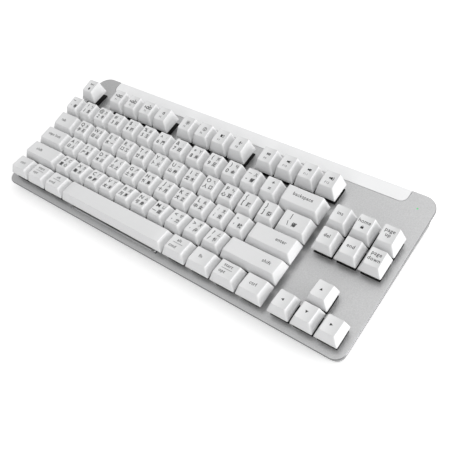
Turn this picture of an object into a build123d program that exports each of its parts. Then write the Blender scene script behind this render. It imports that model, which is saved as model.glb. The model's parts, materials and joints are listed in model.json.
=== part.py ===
"""Tenkeyless mechanical keyboard with an aluminium deck, built as a bench assembly.

Row frame: +X to the typist's right, +Y away from the typist, +Z up, origin on the desk under the
middle of the keyboard. Most pieces are drawn in the deck frame, whose origin is the front left corner
of the deck's top face and whose Z axis is the direction in which the keys travel, then tilted into
place. Lengths are millimetres, angles degrees.
"""

import math
import os

from build123d import *

# ---- key grid -------------------------------------------------------------------------------------
pitch = 19.05  # centre to centre of two single keys
nav_gap = 3.8  # between the main block and the navigation block
f_row_gap = 4.5  # between the number row and the function row
side_margin = 5.0  # deck edge to the grid, left and right
front_margin = 5.5  # deck edge to the grid, in front
rear_margin = 18.8  # grid to the deck edge, behind
main_units = 15
nav_units = 3
rows_in_block = 6

# ---- deck, rear strip and case ----------------------------------------------------------------------
tilt = 4.0  # deck slope with the feet folded
deck_thickness = 1.5
deck_edge_break = 0.35
front_corner_radius = 9.0
rear_corner_radius = 12.0
strip_depth = 12.5
strip_end_inset = 22.7  # deck's side edge to the end of the strip
strip_corner_radius = 6.0
strip_gap = 0.4  # shadow line between strip and deck
case_inset = 1.2  # case wall set back under the deck edge
case_wall = 2.0
case_draft = 10.0  # lean of the case walls
case_floor = 2.0
pad_height = 1.2  # rubber pads below the case floor
pad_recess = 0.6
pad_length = 42.0
pad_width = 8.0
pad_clearance = 0.1

# ---- circuit board ------------------------------------------------------------------------------
board_drop = 5.0  # deck's top face to the board's top face
board_thickness = 1.6
board_margin = 1.5  # board edge inside the case wall or beyond the grid
pin_length = 3.3  # switch post and pins below the board's top face
under_pin_room = 0.7

# ---- key switch ---------------------------------------------------------------------------------
travel = 4.0
cutout = 14.0  # square hole in the deck
cutout_clearance = 0.05
flange_width = 15.4
flange_height = 1.0
housing_height = 6.6  # top of the upper housing above the deck
housing_base = 14.2  # upper housing at the flange
housing_top = 10.4
housing_bore = 8.8  # square room for the stem
housing_roof = 1.0
housing_floor = 1.2
slide_clearance = 0.2  # stem in the upper housing's opening, each side
stem_width = 7.0
stem_depth = 5.5
stem_length = 5.6  # block of the stem below the cross
stem_shoulder = 8.4
stem_shoulder_height = 1.9
stem_stop_gap = 0.1  # shoulder to the housing roof at rest
cross_size = 4.0
cross_bar = 1.2
cross_height = 3.6
cross_fit = 0.03
spring_radius = 2.15
spring_wall = 0.3
spring_end_gap = 0.05
spring_room = 0.15  # round the spring, inside the stem
pole_radius = 1.25
pole_reach = 1.7  # pole below the stem block
guide_clearance = 0.1
guide_wall = 0.4
guide_height = 1.6
post_radius = 2.0  # switch post in the board
hole_clearance = 0.1  # round anything that passes through the board
contact_pins = ((-3.81, 2.54), (2.54, 5.08))
contact_radius = 0.45
contact_leaf = (0.3, 2.6, 2.2)

# ---- keycaps ------------------------------------------------------------------------------------
key_gap = 0.95  # between two keycaps at their skirts
skirt_height = 6.3  # keycap's lower edge above the deck at rest
cap_side_lean = 3.25  # skirt edge to top edge, on each side
cap_front_lean = 3.8
cap_rear_lean = 1.0
cap_corner_radius = 1.0
cap_top_radius = 1.6
cap_wall = 1.1
cap_roof = 1.6
dish_depth = 0.45
socket_radius = 2.75
socket_lift = 0.35  # socket's lower end above the skirt edge
row_profile = (  # height of the top's front and rear edge above the skirt edge, front row first
    (8.6, 7.2),
    (8.5, 7.0),
    (7.4, 7.6),
    (7.2, 8.6),
    (10.0, 11.2),
    (10.4, 11.9),
)

# ---- stabilisers of the wide keys -----------------------------------------------------------------
stabiliser_reach = 11.938  # key centre to insert, on keys under three units
space_stabiliser_reach = 50.0
stabilised_width = 2.0  # units from which a key has stabilisers
wire_radius = 0.75
wire_arm = 8.0
wire_offset = 8.6  # key centre to the wire's bar, towards the typist
wire_height = 0.95  # bar's axis above the deck
wire_bore_clearance = 0.06
stab_width = 7.4
stab_depth = 12.0
stab_height = 5.5
stab_below = 4.8
stab_wall = 0.7
stab_floor = 0.8
stab_lip = 0.7  # flange in front of and behind the cutout
stab_lip_height = 0.8
stab_hole_clearance = 0.15
stab_clip = (1.2, 3.0)  # clip round the wire's bar, from the stabiliser's centre inwards
stab_clip_height = 2.1
stab_clip_wall = 0.35
arm_slot_room = 0.15
insert_width = 5.4
insert_depth = 8.4
insert_base_gap = 0.1  # below the insert with the key pressed
insert_slot_width = 2.0
insert_slot_room = 0.15
insert_slot_end = 0.2  # ahead of the wire's tip

# ---- fasteners -------------------------------------------------------------------------------------
screw_radius = 1.0
screw_head_radius = 1.9
screw_head_height = 1.3
screw_grip = 3.0  # head seat below the board
screw_clearance = 0.15
boss_wall = 1.0
head_clearance = 0.4
standoff_radius = 2.2
standoff_bore = 1.05
screw_places = (  # units from the left of the grid, row boundary
    (2.6, 2),
    (6.5, 2),
    (10.5, 2),
    (15.65, 2),
    (2.6, 4),
    (9.9, 4),
    (2.0, 5),
    (6.4, 5),
    (10.9, 5),
    (15.1, 5),
)

# ---- tilt feet ------------------------------------------------------------------------------------
foot_width = 30.0
foot_length = 17.0
foot_thickness = 3.2
foot_inset = 24.0  # case side to foot, at the floor
foot_rear_inset = 9.0  # case rear to the foot's hinge, at the floor
foot_gap = 0.4
foot_pin_radius = 1.25
foot_pin_length = 1.6
foot_pin_clearance = 0.05
foot_lip = 0.3  # foot stands in from the case floor
pocket_wall = 1.6
foot_pad_width = 20.0
foot_pad_depth = 3.0
foot_pad_height = 1.0
foot_notch_radius = 5.0

# ---- battery bay ------------------------------------------------------------------------------------
cell_radius = 5.25
cell_length = 43.3
cell_nub_radius = 1.9
cell_nub_length = 1.2
cell_clearance = 0.35
contact_plate = 0.4
contact_spring_length = 2.4
lead_width = 1.0
bay_wall = 1.2
door_clearance = 0.25
door_grip_depth = 0.5

# ---- power switch, status light and electronics ------------------------------------------------------
power_inset = 66.0  # deck's right edge to the switch
power_travel = 3.0
power_knob = (4.0, 1.6, 2.0)  # width, reach out of the wall, height
power_body = (9.0, 4.0, 4.0)
power_slot_clearance = 0.2
light_inset_side = 12.6
light_inset_rear = 13.0
light_radius = 0.6
light_clearance = 0.1
light_gap = 0.2  # pipe to the lamp on the board
lamp_size = (1.6, 0.8, 0.6)
module_size = (18.0, 13.0, 1.2)
chip_size = (8.0, 8.0, 1.0)
diode_size = (1.4, 2.7, 1.1)
diode_place = (5.4, -2.0)
header_size = (10.0, 4.0, 3.0)

# ---- sizes worked out from the above ---------------------------------------------------------------
width = 2 * side_margin + (main_units + nav_units) * pitch + nav_gap
depth = front_margin + rows_in_block * pitch + f_row_gap + rear_margin
base_height = pad_height  # underside of the case floor above the desk
slope = math.radians(tilt)
front_pin_drop = board_drop + pin_length + under_pin_room
deck_height = base_height + case_floor + front_pin_drop * math.cos(slope) - front_margin * math.sin(slope)
middle_y = (depth * math.cos(slope) + deck_thickness * math.sin(slope)) / 2
deck_frame = Pos(-width / 2, -middle_y, deck_height) * Rot(tilt, 0, 0)
cap_width = pitch - key_gap
board_top = -board_drop
board_bottom = -board_drop - board_thickness
stem_bottom = housing_height - stem_length
far = 200.0

LAYOUT = (  # front row first: name and width in units, or a gap
    "left_ctrl:1.25 left_start:1.25 left_alt:1.25 space:6.25"
    " right_alt:1.25 fn:1.25 right_start:1.25 right_ctrl:1.25",
    "left_shift:2.25 z:1 x:1 c:1 v:1 b:1 n:1 m:1 comma:1 period:1 slash:1 right_shift:2.75",
    "caps_lock:1.75 a:1 s:1 d:1 f:1 g:1 h:1 j:1 k:1 l:1 semicolon:1 quote:1 enter:2.25",
    "tab:1.5 q:1 w:1 e:1 r:1 t:1 y:1 u:1 i:1 o:1 p:1 left_bracket:1 right_bracket:1 backslash:1.5",
    "grave:1 1:1 2:1 3:1 4:1 5:1 6:1 7:1 8:1 9:1 0:1 minus:1 equal:1 backspace:2",
    "esc:1 gap:1 f1:1 f2:1 f3:1 f4:1 gap:0.5 f5:1 f6:1 f7:1 f8:1 gap:0.5 f9:1 f10:1 f11:1 f12:1",
)
NAV_LAYOUT = (
    "arrow_left:1 arrow_down:1 arrow_right:1",
    "gap:1 arrow_up:1",
    "",
    "delete:1 end:1 page_down:1",
    "insert:1 home:1 page_up:1",
    "",
)
SHARED_NODES = {  # identical keycaps of one cluster, which share a node
    "keys_lower_row": "z x c v b n m comma period slash",
    "keys_home_row": "a s d f g h j k l semicolon quote",
    "keys_upper_row": "q w e r t y u i o p left_bracket right_bracket",
    "keys_number_row": "grave 1 2 3 4 5 6 7 8 9 0 minus equal",
    "keys_f1_to_f4": "f1 f2 f3 f4",
    "keys_f5_to_f8": "f5 f6 f7 f8",
    "keys_f9_to_f12": "f9 f10 f11 f12",
}


class Key:
    """One key: its name, row, width in units and the deck position of its centre."""

    def __init__(self, name, row, units, left):
        self.name = name
        self.row = row
        self.units = units
        self.x = left + units * pitch / 2
        self.y = row_front(row) + pitch / 2

    @property
    def place(self):
        return Pos(self.x, self.y, 0)

    @property
    def reach(self):
        """Key centre to its stabilisers, or None for a key without them."""
        if self.units < stabilised_width:
            return None
        return space_stabiliser_reach if self.units > nav_units else stabiliser_reach


def row_front(row):
    """Deck Y of a row's front boundary."""
    step = f_row_gap if row == rows_in_block - 1 else 0
    return front_margin + row * pitch + step


def read_layout():
    """Every key of both blocks."""
    keys = []
    blocks = ((LAYOUT, side_margin), (NAV_LAYOUT, side_margin + main_units * pitch + nav_gap))
    for layout, start in blocks:
        for row, line in enumerate(layout):
            left = start
            for entry in line.split():
                name, units = entry.split(":")
                if name != "gap":
                    keys.append(Key(name, row, float(units), left))
                left += float(units) * pitch
    return keys


KEYS = read_layout()


# ---- small helpers ----------------------------------------------------------------------------------
def block(x, y, z):
    """Box between two X, two Y and two Z values."""
    size = (x[1] - x[0], y[1] - y[0], z[1] - z[0])
    return Pos((x[0] + x[1]) / 2, (y[0] + y[1]) / 2, (z[0] + z[1]) / 2) * Box(*size)


def centred(x_size, y_size, z):
    """Box centred on the Z axis between two Z values."""
    return block((-x_size / 2, x_size / 2), (-y_size / 2, y_size / 2), z)


def rod(radius, z):
    """Cylinder on the Z axis between two Z values."""
    return Pos(0, 0, (z[0] + z[1]) / 2) * Cylinder(radius, z[1] - z[0])


def rod_along_x(radius, x, y, z):
    """Cylinder along X between two X values."""
    return Pos((x[0] + x[1]) / 2, y, z) * Rot(0, 90, 0) * Cylinder(radius, x[1] - x[0])


def cross(size, bar, z):
    """Plus-shaped prism on the Z axis."""
    return centred(size, bar, z) + centred(bar, size, z)


def grown(size, by):
    return size + 2 * by


def write(name, *shapes):
    """Writes one node as separate solids."""
    solids = [solid for shape in shapes for solid in shape.solids()]
    export_step(Compound(children=solids) if len(solids) > 1 else solids[0], f"parts/{name}.step")


# ---- deck and rear strip -------------------------------------------------------------------------
def deck_outline(inset):
    """Rounded outline of the deck, moved inwards by inset."""
    low = (inset, inset)
    high = (width - inset, depth - inset)
    centre = Pos((low[0] + high[0]) / 2, (low[1] + high[1]) / 2)
    sketch = centre * Rectangle(high[0] - low[0], high[1] - low[1])
    corners = sketch.vertices().sort_by(Axis.Y)
    sketch = fillet(corners[:2], front_corner_radius - inset)
    corners = sketch.vertices().sort_by(Axis.Y)[-2:]
    return fillet(corners, rear_corner_radius - inset)


def strip_outline(inset, overrun=0):
    """Outline of the rear strip, whose rear edge may run past the deck's."""
    x = (strip_end_inset + inset, width - strip_end_inset - inset)
    y = (depth - strip_depth + inset, depth + overrun)
    sketch = Pos((x[0] + x[1]) / 2, (y[0] + y[1]) / 2) * Rectangle(x[1] - x[0], y[1] - y[0])
    return fillet(sketch.vertices().sort_by(Axis.Y)[:2], strip_corner_radius - inset)


def stabiliser_centres():
    """Deck positions of every stabiliser housing."""
    return [(key.x + side * key.reach, key.y) for key in KEYS if key.reach for side in (-1, 1)]


def light_place():
    return (width - light_inset_side, depth - light_inset_rear)


def screw_centres():
    """Deck positions of the screws, each on the boundary between two rows."""
    places = []
    for units, boundary in screw_places:
        left = side_margin + units * pitch + (nav_gap if units > main_units else 0)
        behind = row_front(boundary)
        ahead = row_front(boundary - 1) + pitch
        places.append((left, (behind + ahead) / 2))
    return places


def make_deck():
    """Aluminium deck, which also holds the switches."""
    z = (-deck_thickness, 0)
    deck = extrude(deck_outline(0), -deck_thickness)
    deck = chamfer(deck.faces().sort_by(Axis.Z)[-1].outer_wire().edges(), deck_edge_break)
    deck -= extrude(strip_outline(0, overrun=far), -deck_thickness)
    holes = [key.place * centred(cutout, cutout, z) for key in KEYS]
    body = centred(grown(stab_width, stab_hole_clearance), grown(stab_depth, stab_hole_clearance), z)
    arm_slot = block(
        (-insert_slot_width / 2 - stab_hole_clearance, insert_slot_width / 2 + stab_hole_clearance),
        (-wire_offset - wire_radius - stab_hole_clearance, 0),
        z,
    )
    holes += [Pos(*centre, 0) * (body + arm_slot) for centre in stabiliser_centres()]
    holes.append(Pos(*light_place(), 0) * rod(light_radius + light_clearance, z))
    deck -= holes
    under = (board_top, -deck_thickness)
    for place in screw_centres():
        standoff = rod(standoff_radius, under) - rod(standoff_bore, under)
        deck += Pos(*place, 0) * standoff
    return deck


def make_strip():
    """White plastic strip let into the deck's rear edge, over the antenna."""
    strip = extrude(strip_outline(strip_gap), -deck_thickness)
    rear_edges = strip.faces().sort_by(Axis.Z)[-1].edges().sort_by(Axis.Y)[-1:]
    return chamfer(rear_edges, deck_edge_break)


# ---- case -------------------------------------------------------------------------------------------
def draft(drop):
    """How far a case wall has come in at a depth below the deck's underside."""
    return drop * math.tan(math.radians(case_draft))


def case_solid(inset, z_low, top_overrun=0):
    """Drafted body under the deck, cut off level at a height above the desk."""
    drop = deck_height + depth * math.sin(slope)
    corner = min(front_corner_radius, rear_corner_radius)
    drop = min(drop, (corner - inset - 0.5) / math.tan(math.radians(case_draft)))
    upper = Pos(0, 0, -deck_thickness + top_overrun) * deck_outline(inset - draft(top_overrun))
    lower = Pos(0, 0, -deck_thickness - drop) * deck_outline(inset + draft(drop))
    body = deck_frame * loft([upper, lower], ruled=True)
    return body & block((-far * 2, far * 2), (-far, far), (z_low, far))


def floor_outline():
    """Row-frame X and Y limits of the case at the floor's underside."""
    def inset_at(y_deck):
        height = deck_height + y_deck * math.sin(slope) - deck_thickness - base_height
        return case_inset + draft(height)

    side = width / 2 - inset_at(0)
    rear = (depth - inset_at(depth)) * math.cos(slope) - middle_y
    front = inset_at(0) * math.cos(slope) - middle_y
    rear += (deck_height + depth * math.sin(slope) - base_height) * math.sin(slope)
    front += (deck_height - base_height) * math.sin(slope)
    return side, front, rear


FLOOR_SIDE, FLOOR_FRONT, FLOOR_REAR = floor_outline()
floor_top = base_height + case_floor
rear_wall_inner = FLOOR_REAR - case_wall

# Battery bay, in the row frame.
cell_y = rear_wall_inner - cell_clearance - cell_radius
cell_z = floor_top + cell_clearance + cell_radius
string_length = 2 * (cell_length + cell_nub_length) + contact_spring_length + 2 * contact_plate
bay_half = string_length / 2
bay_front = cell_y - cell_radius - cell_clearance
bay_rear = rear_wall_inner
door_z = (base_height + 0.15, floor_top - 0.25)
door_half = bay_half + 2.5
door_tongue = 1.0
door_tongue_z = (base_height + 0.7, base_height + 1.2)
board_rear = row_front(rows_in_block - 1) + pitch - 0.8
board_edge = case_inset + case_wall + draft(board_drop) + board_margin
roof_front = board_rear + 0.5
roof_z = (-deck_thickness - 2.0, -deck_thickness)


def deck_y(y, z):
    """Deck-frame Y of a row-frame point."""
    return (y + middle_y) * math.cos(slope) + (z - deck_height) * math.sin(slope)


def cell_centre_in_deck():
    y = deck_y(cell_y, cell_z)
    z = (cell_z - deck_height) * math.cos(slope) - (cell_y + middle_y) * math.sin(slope)
    return y, z


# Tilt feet, in the row frame; each foot is drawn for the right-hand side.
foot_x = (FLOOR_SIDE - foot_inset - foot_width, FLOOR_SIDE - foot_inset)
foot_hinge_y = FLOOR_REAR - foot_rear_inset
foot_hinge_z = base_height + foot_lip + foot_thickness / 2
foot_tip_y = foot_hinge_y - foot_length
foot_pocket_top = foot_hinge_z + foot_thickness / 2 + foot_gap


def mirrored(shape, side):
    return shape if side > 0 else mirror(shape, about=Plane.YZ)


def make_foot():
    """Folding foot with its two pins."""
    radius = foot_thickness / 2
    leaf_y = (foot_tip_y + foot_pad_height, foot_hinge_y)
    leaf = block(foot_x, leaf_y, (foot_hinge_z - radius, foot_hinge_z + radius))
    leaf += rod_along_x(radius, foot_x, foot_hinge_y, foot_hinge_z)
    pins = (foot_x[0] - foot_pin_length, foot_x[1] + foot_pin_length)
    return leaf + rod_along_x(foot_pin_radius, pins, foot_hinge_y, foot_hinge_z)


def make_foot_pad():
    """Rubber tip on the free end of the foot."""
    middle = (foot_x[0] + foot_x[1]) / 2
    x = (middle - foot_pad_width / 2, middle + foot_pad_width / 2)
    y = (foot_tip_y, foot_tip_y + foot_pad_height)
    z = (foot_hinge_z - foot_pad_depth / 2, foot_hinge_z + foot_pad_depth / 2)
    return block(x, y, z)


def foot_pocket():
    """Room for the folded foot, its pins and a fingertip."""
    x = (foot_x[0] - foot_gap, foot_x[1] + foot_gap)
    y = (foot_tip_y - foot_gap, foot_hinge_y + foot_thickness / 2 + foot_gap)
    room = block(x, y, (0, foot_pocket_top))
    bore = (foot_x[0] - foot_pin_length - foot_gap, foot_x[1] + foot_pin_length + foot_gap)
    room += rod_along_x(foot_pin_radius + foot_pin_clearance, bore, foot_hinge_y, foot_hinge_z)
    notch = rod(foot_notch_radius, (0, floor_top - 0.6))
    return room + Pos((foot_x[0] + foot_x[1]) / 2, foot_tip_y - foot_gap, 0) * notch


def foot_box():
    """Walls round the pocket, inside the case."""
    grow = pocket_wall + foot_gap
    x = (foot_x[0] - grow - foot_pin_length, foot_x[1] + grow + foot_pin_length)
    y = (foot_tip_y - grow, foot_hinge_y + foot_thickness / 2 + grow)
    return block(x, y, (base_height, foot_pocket_top + pocket_wall))


PAD_PLACES = [
    (side * x, y)
    for side in (-1, 1)
    for x, y in (
        (FLOOR_SIDE - 34.0, FLOOR_FRONT + 9.0),
        ((door_half + foot_x[0]) / 2, FLOOR_REAR - 12.0),
    )
]


def make_pad(x, y):
    pad = extrude(Pos(x, y) * SlotOverall(pad_length, pad_width), base_height + pad_recess)
    return chamfer(pad.faces().sort_by(Axis.Z)[0].edges(), 0.4)


def boss(x, y):
    """Tube from the case floor to the board round one screw."""
    radius = screw_head_radius + head_clearance + boss_wall
    return deck_frame * Pos(x, y, 0) * rod(radius, (-far / 4, board_bottom))


def screw_bore(x, y):
    """Stepped bore of a boss, open to the underside."""
    seat = board_bottom - screw_grip
    shank = rod(screw_radius + screw_clearance, (seat - 1, board_bottom + 1))
    head = rod(screw_head_radius + head_clearance, (-far / 4, seat))
    return deck_frame * Pos(x, y, 0) * (shank + head)


def make_screw(x, y):
    """Pan-head screw with a cross recess, driven from below."""
    seat = board_bottom - screw_grip
    body = rod(screw_radius, (seat, -deck_thickness - 0.5))
    body += rod(screw_head_radius, (seat - screw_head_height, seat))
    body -= cross(2.2, 0.6, (seat - screw_head_height - 1, seat - screw_head_height + 0.8))
    return deck_frame * Pos(x, y, 0) * body


def power_frame():
    """Middle of the power switch's body, under the board by the rear wall."""
    y = depth - case_inset - case_wall - draft(-board_bottom + 2) - 0.4 - power_body[1] / 2
    return Pos(width - power_inset, y, board_bottom - power_body[2] / 2)


def make_case():
    """Plastic tray with the battery bay, the foot pockets and the screw bosses."""
    outside = case_solid(case_inset, base_height)
    inside = case_solid(case_inset + case_wall, floor_top, top_overrun=2.0)
    roof = block((strip_end_inset - 3, width - strip_end_inset + 3), (roof_front, depth), roof_z)
    bay_x = (-bay_half - bay_wall, bay_half + bay_wall)
    bay_walls = block(bay_x, (bay_front - bay_wall, far), (floor_top - 1, far))
    low = deck_frame * block((0, width), (0, depth), (-far, roof_z[1]))
    ribs = deck_frame * roof + (bay_walls & low)
    for side in (-1, 1):
        ribs += mirrored(foot_box(), side)
    for place in screw_centres():
        ribs += boss(*place)
    shell = (outside - inside) + (ribs & outside)
    roof_bottom = deck_frame * block((0, width), (0, depth), (-far, roof_z[0]))
    bay = block((-bay_half, bay_half), (bay_front, bay_rear), (0, far)) & roof_bottom
    cuts = [bay] + [screw_bore(*place) for place in screw_centres()]
    cuts += [mirrored(foot_pocket(), side) for side in (-1, 1)]
    cuts += [Pos(x, y, 0) * pad_room() for x, y in PAD_PLACES]
    cuts += door_cuts()
    cuts.append(deck_frame * power_frame() * power_slot())
    cuts += [deck_frame * lead_notch(side) for side in (-1, 1)]
    for cut in cuts:
        shell -= cut
    return shell


def pad_room():
    outline = SlotOverall(grown(pad_length, pad_clearance), grown(pad_width, pad_clearance))
    return extrude(outline, base_height + pad_recess)


# ---- battery door, cells and contacts ------------------------------------------------------------
def door_cuts():
    """Opening, tongue grooves and rear exit for the sliding door."""
    gap = door_clearance
    x = (-door_half - gap, door_half + gap)
    y = (bay_front - 1.5 - gap, far)
    tongue_x = (x[0] - door_tongue, x[1] + door_tongue)
    tongue_z = (door_tongue_z[0] - 0.1, door_tongue_z[1] + 0.1)
    return [block(x, y, (0, door_z[1] + 0.1)), block(tongue_x, y, tongue_z)]


def make_door():
    """Sliding door with grip grooves on its underside."""
    y = (bay_front - 1.5, FLOOR_REAR - 0.3)
    door = block((-door_half, door_half), y, door_z)
    door += block((-door_half - door_tongue, door_half + door_tongue), (y[0], y[1] - 3), door_tongue_z)
    for step in range(4):
        groove_y = y[1] - 2.5 - 1.6 * step
        door -= block((-9, 9), (groove_y, groove_y + 0.8), (0, door_z[0] + door_grip_depth))
    return door


def make_cells():
    """Two cells end to end, both pointing right."""
    start = -bay_half + contact_plate + contact_spring_length
    cells = []
    for index in range(2):
        left = start + index * (cell_length + cell_nub_length)
        cell = rod_along_x(cell_radius, (left, left + cell_length), cell_y, cell_z)
        nub = (left + cell_length, left + cell_length + cell_nub_length)
        cells.append(cell + rod_along_x(cell_nub_radius, nub, cell_y, cell_z))
    return cells


def lead_span(side):
    """Deck X range of a contact's lead."""
    end = width / 2 + side * bay_half
    return (end, end + lead_width) if side < 0 else (end - lead_width, end)


def lead_notch(side):
    """Way for a contact's lead through the front wall of the bay."""
    x = lead_span(side)
    y = deck_y(bay_front, cell_z)
    z = (board_bottom - 0.6, board_bottom + 0.3)
    return block((x[0] - 0.2, x[1] + 0.2), (y - bay_wall - 2.5, y + 2), z)


def make_contact(side):
    """End contact with a lead to the board; the negative one carries a spring."""
    y, z = cell_centre_in_deck()
    x = lead_span(side)
    plate_x = (x[0], x[0] + contact_plate) if side < 0 else (x[1] - contact_plate, x[1])
    plate = block(plate_x, (y - 3.5, y + 3.5), (z - 3.5, board_bottom))
    lead = block(x, (board_rear - 2.2, y + 3.5), (board_bottom - 0.4, board_bottom))
    contact = deck_frame * (plate + lead)
    if side < 0:
        coil = (-bay_half + contact_plate / 2, -bay_half + contact_plate + contact_spring_length)
        spring = rod_along_x(2.6, coil, cell_y, cell_z)
        contact += spring - rod_along_x(2.1, (coil[0] + 0.3, far), cell_y, cell_z)
    return contact


# ---- circuit board --------------------------------------------------------------------------------
def make_board():
    """Board under every row, with tabs for the status light and the power switch."""
    z = (board_bottom, board_top)
    x = (board_edge, width - board_edge)
    board = block(x, (board_edge, board_rear), z)
    light = light_place()
    board += block((light[0] - 5, light[0] + 2.5), (board_rear - 1, light[1] + 3), z)
    power = power_frame().position
    half = power_body[0] / 2 + 1.5
    board += block((power.X - half, power.X + half), (board_rear - 1, power.Y + power_body[1] / 2), z)
    board = fillet(board.edges().filter_by(Axis.Z).group_by(Axis.Y)[0], front_corner_radius - board_edge + 1)
    holes = []
    for key in KEYS:
        holes.append(key.place * rod(post_radius + hole_clearance, z))
        for pin in contact_pins:
            holes.append(key.place * Pos(*pin, 0) * rod(contact_radius + hole_clearance, z))
    for place in screw_centres():
        holes.append(Pos(*place, 0) * rod(screw_radius + screw_clearance, z))
    return board - holes


def make_components():
    """Lamp, radio module, controller, cell header and one diode per key."""
    nav = width - side_margin - nav_units * pitch / 2
    lamp = Pos(*light_place(), 0) * centred(lamp_size[0], lamp_size[1], (board_top, board_top + lamp_size[2]))
    module_y = row_front(rows_in_block - 1) + pitch / 2
    module = Pos(nav, module_y, 0) * centred(*module_size[:2], (board_top, board_top + module_size[2]))
    chip_y = row_front(2) + pitch / 2
    chip = Pos(nav, chip_y, 0) * centred(*chip_size[:2], (board_top, board_top + chip_size[2]))
    under = (board_bottom - header_size[2], board_bottom)
    header = Pos(nav, chip_y, 0) * centred(*header_size[:2], under)
    parts = [lamp, module, chip, header]
    for key in KEYS:
        low = (board_bottom - diode_size[2], board_bottom)
        parts.append(key.place * Pos(*diode_place, 0) * centred(*diode_size[:2], low))
    return parts


def make_power_body():
    """Body of the power switch, open to the rear."""
    w, d, h = power_body
    body = Box(w, d, h)
    carriage = power_knob[0] + power_travel + 2 * power_slot_clearance
    half = power_knob[2] / 2 + 0.2
    body -= block((-carriage / 2, carriage / 2), (-d / 2 + 1.2, far), (-half, half))
    return power_frame() * body


def power_slot():
    """Slot in the rear wall for the knob and its travel."""
    w = power_knob[0] + power_travel + 2 * power_slot_clearance
    h = power_knob[2] + 2 * power_slot_clearance
    return block((-w / 2, w / 2), (0, far / 4), (-h / 2, h / 2))


def make_power_slider():
    """Slider at the off end of its travel."""
    w, reach, h = power_knob
    y = (-power_body[1] / 2 + 1.4, power_body[1] / 2 + 0.4 + case_wall + reach)
    slider = block((-w / 2, w / 2), y, (-h / 2, h / 2))
    for step in (-1, 0, 1):
        slider -= block((step - 0.2, step + 0.2), (y[1] - 0.3, y[1] + 1), (-h, h))
    return power_frame() * Pos(-power_travel / 2, 0, 0) * slider


def make_light_pipe():
    """Clear pipe from the lamp to the deck, with a flange under the deck."""
    pipe = rod(light_radius, (board_top + lamp_size[2] + light_gap, 0))
    pipe += rod(light_radius + 1.0, (-deck_thickness - 0.8, -deck_thickness))
    return Pos(*light_place(), 0) * pipe


# ---- key switch -----------------------------------------------------------------------------------
def make_lower_housing():
    """Lower half of a switch: flange, body in the cutout, guide for the stem and locating post."""
    body_width = grown(cutout, -cutout_clearance)
    body = centred(body_width, body_width, (board_top, 0))
    body += centred(flange_width, flange_width, (0, flange_height))
    cavity_floor = board_top + housing_floor
    body -= centred(housing_bore, housing_bore, (cavity_floor, flange_height))
    body += rod(post_radius, (board_top - pin_length, board_top))
    bore = pole_radius + guide_clearance
    body += rod(bore + guide_wall, (cavity_floor, cavity_floor + guide_height))
    body -= rod(bore, (stem_bottom - pole_reach - travel - 0.3, 0))
    for index, pin in enumerate(contact_pins):
        top = cavity_floor if index == 0 else cavity_floor + 0.3
        body -= Pos(*pin, 0) * rod(contact_radius + hole_clearance, (board_top - 1, top))
    return body


def make_upper_housing():
    """Upper half of a switch, tapered towards the stem's opening."""
    low = Pos(0, 0, flange_height) * RectangleRounded(housing_base, housing_base, 0.8)
    high = Pos(0, 0, housing_height) * RectangleRounded(housing_top, housing_top, 0.8)
    body = loft([low, high], ruled=True)
    body -= centred(housing_bore, housing_bore, (flange_height, housing_height - housing_roof))
    opening = (grown(stem_width, slide_clearance), grown(stem_depth, slide_clearance))
    return body - centred(*opening, (0, housing_height))


def make_stem():
    """Stem with its cross, shoulder, spring room and pole, at rest."""
    stem = centred(stem_width, stem_depth, (stem_bottom, housing_height))
    roof = housing_height - housing_roof - stem_stop_gap
    stem += centred(stem_shoulder, stem_shoulder, (roof - stem_shoulder_height, roof))
    stem -= rod(spring_radius + spring_room, (stem_bottom, spring_top()))
    stem += rod(pole_radius, (stem_bottom - pole_reach, spring_top()))
    return stem + cross(cross_size, cross_bar, (housing_height, housing_height + cross_height))


def spring_top():
    return housing_height - 1.2


def make_spring():
    """Return spring, drawn as the tube that its coils fill."""
    z = (board_top + housing_floor + spring_end_gap, spring_top() - spring_end_gap)
    return rod(spring_radius, z) - rod(spring_radius - spring_wall, z)


def make_contacts():
    """Fixed contact leaf with its pin, and the second pin."""
    floor = board_top + housing_floor
    thick, wide, tall = contact_leaf
    x, y = contact_pins[0]
    wall = -housing_bore / 2 + 0.1
    leaf = block((wall, wall + thick), (y - wide / 2, y + wide / 2), (floor, floor + tall))
    first = leaf + Pos(x, y, 0) * rod(contact_radius, (board_top - pin_length, floor))
    second = Pos(*contact_pins[1], 0) * rod(contact_radius, (board_top - pin_length, floor + 0.3))
    return [first, second]


# ---- stabilisers --------------------------------------------------------------------------------
rest_angle = math.asin(travel / 2 / wire_arm)


def make_stabiliser_housing(side):
    """Housing of one stabiliser; side is where it sits on its key, -1 left or 1 right."""
    inner = (stab_width / 2 - stab_wall, stab_depth / 2 - stab_wall)
    body = centred(stab_width, stab_depth, (-stab_below, stab_height))
    body += centred(stab_width, grown(stab_depth, stab_lip), (0, stab_lip_height))
    body -= centred(2 * inner[0], 2 * inner[1], (-stab_below + stab_floor, stab_height))
    slot = wire_radius + arm_slot_room
    body -= block((-slot, slot), (-wire_offset, 0), (-1.1, stab_height - 1.5))
    clip_x = sorted((-side * stab_clip[0], -side * stab_clip[1]))
    bore = wire_radius + wire_bore_clearance
    clip_front = -wire_offset - bore - stab_clip_wall
    clip = block(clip_x, (clip_front, -stab_depth / 2), (0, stab_clip_height))
    body += clip
    return body - rod_along_x(bore, (clip_x[0] - 0.1, clip_x[1] + 0.1), -wire_offset, wire_height)


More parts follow.
